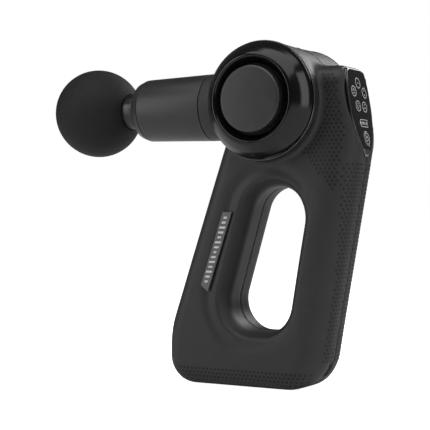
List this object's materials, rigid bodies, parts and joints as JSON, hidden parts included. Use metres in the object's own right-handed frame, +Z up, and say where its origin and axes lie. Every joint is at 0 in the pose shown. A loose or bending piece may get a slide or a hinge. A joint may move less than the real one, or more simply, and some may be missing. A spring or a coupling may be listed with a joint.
{
  "type": "massage gun",
  "caption": "Handheld percussion massage gun with a ball head on a barrel, a round motor drum, a rear control panel and a ring-shaped handle.",
  "frame": {"origin": "centre of the flat base face of the handle", "axes": "-X towards the massage head, +X towards the control panel, +Z up, -Y is the left side"},
  "size_m": [0.2213, 0.0836, 0.2058],
  "materials": {
    "soft_black": "soft-touch matt coating",
    "gloss_black": "high gloss",
    "satin_grey": "satin",
    "bright_trim": "dark bright plating",
    "foam_black": "dense matt foam, fine grain",
    "rubber_black": "matt",
    "steel": "machined",
    "aluminium": "machined",
    "copper": "enamelled copper wire",
    "bushing_plastic": "natural acetal",
    "board_green": "solder mask",
    "component_black": "moulded",
    "lamp_white": "light guide",
    "cell_blue": "shrink sleeve"
  },
  "bodies": {
    "housing": {"housing_left": "soft_black", "housing_right": "soft_black", "side_cover_left": "gloss_black", "side_cover_right": "gloss_black", "cover_disc_left": "satin_grey", "cover_disc_right": "satin_grey", "trim_ring_left": "bright_trim", "trim_ring_right": "bright_trim", "barrel_sleeve": "soft_black", "barrel_front_ring": "satin_grey", "guide_tube": "aluminium", "guide_bushing": "bushing_plastic", "shaft_bearing_front": "steel", "shaft_bearing_rear": "steel", "motor_plate": "aluminium", "motor_plate_screw_1": "steel", "motor_plate_screw_2": "steel", "motor_plate_screw_3": "steel", "stator_core": "steel", "stator_windings": "copper", "drive_board": "board_green", "motor_driver_chip": "component_black", "drive_capacitor": "component_black", "control_lens": "gloss_black", "control_board": "board_green", "button_switch": "component_black", "indicator_lamps": "lamp_white", "badge_plate": "satin_grey", "charge_port": "component_black", "charge_board": "board_green", "vent_insert": "component_black", "battery_cell_front": "cell_blue", "battery_cell_base": "cell_blue", "battery_cradle_front": "component_black", "battery_cradle_base": "component_black", "shell_screw_1": "steel", "shell_screw_2": "steel", "shell_screw_3": "steel", "shell_screw_4": "steel"},
    "crank": {"motor_shaft": "steel", "crank_wheel": "steel", "crank_pin": "steel", "rotor_can": "steel", "rotor_magnets": "steel"},
    "rod": {"connecting_rod": "aluminium", "crank_bearing": "steel", "wrist_pin": "steel"},
    "piston": {"piston": "aluminium"},
    "head": {"massage_head_ball": "foam_black", "head_shank": "gloss_black", "head_o_ring": "rubber_black"},
    "power_key": {"power_button": "gloss_black"}
  },
  "joints": [
    {"name": "motor_spin", "type": "hinge", "parent": "housing", "child": "crank", "pos_m": [0.028, 0, 0.1705], "axis": [0, 1, 0], "continuous": true},
    {"name": "rod_pivot", "type": "hinge", "parent": "crank", "child": "rod", "pos_m": [0.023, 0, 0.1705], "axis": [0, 1, 0], "continuous": true},
    {"name": "piston_slide", "type": "slide", "parent": "housing", "child": "piston", "axis": [1, 0, 0], "range_m": [0, 0.01]},
    {"name": "head_pull", "type": "slide", "parent": "piston", "child": "head", "axis": [-1, 0, 0], "range_m": [0, 0.03]},
    {"name": "power_press", "type": "slide", "parent": "housing", "child": "power_key", "axis": [-0.9854, 0, -0.1702], "range_m": [0, 0.0004], "stiffness_N_per_m": 2000}
  ],
  "couplings": [
    {"joint": "rod_pivot", "follows": "motor_spin", "ratio": -1}
  ]
}
